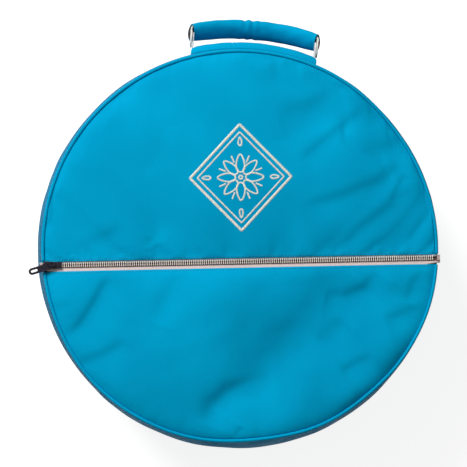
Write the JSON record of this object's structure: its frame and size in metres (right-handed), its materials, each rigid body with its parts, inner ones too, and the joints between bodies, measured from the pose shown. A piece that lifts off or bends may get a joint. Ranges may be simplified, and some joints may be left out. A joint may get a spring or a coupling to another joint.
{
  "type": "round padded instrument case",
  "caption": "Round padded soft case for a small handpan: zip-open lid on a fabric hinge, zipped front pocket and a padded carrying handle.",
  "frame": {"origin": "centre of the back panel's outer face, on which the case lies", "axes": "+Z out of the front panel, +Y towards the handle's side, +X along the pocket zip towards its open end"},
  "size_m": [0.4874, 0.5195, 0.2059],
  "materials": {
    "turquoise_fabric": "coated polyester weave, satin",
    "black_foam": "closed-cell foam, matt",
    "black_lining": "thin woven lining, matt",
    "binding_tape": "ribbed binding tape",
    "zip_tape": "woven zip tape, matt",
    "zip_teeth": "satin moulded teeth",
    "slider_metal": "black painted, satin",
    "cream_webbing": "flat woven webbing"
  },
  "bodies": {
    "back_shell": {"back_panel": "turquoise_fabric", "back_foam": "black_foam", "back_lining": "black_lining", "back_piping": "turquoise_fabric", "back_side_band": "turquoise_fabric", "back_side_foam": "black_foam", "back_side_lining": "black_lining", "back_seam_binding": "binding_tape", "main_tape_back": "zip_tape", "main_teeth_back": "zip_teeth", "main_zip_end_tabs": "turquoise_fabric", "hinge_strip_back": "turquoise_fabric"},
    "lid": {"front_panel": "turquoise_fabric", "front_pad": "black_foam", "pocket_panel": "turquoise_fabric", "pocket_lining": "black_lining", "front_foam": "black_foam", "front_lining": "black_lining", "front_piping": "turquoise_fabric", "front_side_band": "turquoise_fabric", "front_side_foam": "black_foam", "front_side_lining": "black_lining", "front_seam_binding": "binding_tape", "main_tape_front": "zip_tape", "main_teeth_front": "zip_teeth", "hinge_strip_front": "turquoise_fabric", "pocket_tape_upper": "zip_tape", "pocket_tape_lower": "zip_tape", "pocket_teeth_upper": "zip_teeth", "pocket_teeth_lower": "zip_teeth", "pocket_zip_stops": "zip_teeth", "handle_patch": "turquoise_fabric", "handle_patch_pad": "black_foam", "handle_anchor_webbing": "cream_webbing"},
    "handle": {"handle_webbing": "cream_webbing", "handle_grip_core": "black_foam", "handle_grip_sleeve": "turquoise_fabric"},
    "pocket_slider": {"pocket_slider": "slider_metal"},
    "pocket_puller": {"pocket_puller": "slider_metal"},
    "main_slider_right": {"main_slider_right": "slider_metal"},
    "main_slider_left": {"main_slider_left": "slider_metal"},
    "main_puller_right": {"main_puller_right": "slider_metal"},
    "main_puller_left": {"main_puller_left": "slider_metal"}
  },
  "joints": [
    {"name": "lid_hinge", "type": "hinge", "parent": "back_shell", "child": "lid", "pos_m": [0, -0.23669, 0.05], "axis": [1, 0, 0], "range_deg": [0, 110]},
    {"name": "handle_swing", "type": "hinge", "parent": "lid", "child": "handle", "pos_m": [0.02502, 0.2463, 0.118], "axis": [0.9949, -0.1011, 0], "range_deg": [0, 105]},
    {"name": "pocket_slider_travel", "type": "slide", "parent": "lid", "child": "pocket_slider", "axis": [1, 0, 0], "range_m": [0, 0.439]},
    {"name": "pocket_puller_flip", "type": "hinge", "parent": "pocket_slider", "child": "pocket_puller", "pos_m": [-0.2198, -0.018, 0.2034], "axis": [-0.2756, 0.9613, 0], "range_deg": [0, 165]},
    {"name": "main_slider_right_travel", "type": "hinge", "parent": "back_shell", "child": "main_slider_right", "pos_m": [0, 0, 0.05], "axis": [0, 0, 1], "range_deg": [-147, 0]},
    {"name": "main_slider_left_travel", "type": "hinge", "parent": "back_shell", "child": "main_slider_left", "pos_m": [0, 0, 0.05], "axis": [0, 0, 1], "range_deg": [0, 147]},
    {"name": "main_puller_right_flip", "type": "hinge", "parent": "main_slider_right", "child": "main_puller_right", "pos_m": [0.01509, 0.23987, 0.04933], "axis": [0.0082, 0.1311, 0.9913], "range_deg": [0, 90]},
    {"name": "main_puller_left_flip", "type": "hinge", "parent": "main_slider_left", "child": "main_puller_left", "pos_m": [-0.01509, 0.23987, 0.04933], "axis": [0.0082, -0.1311, -0.9913], "range_deg": [0, 90]}
  ]
}
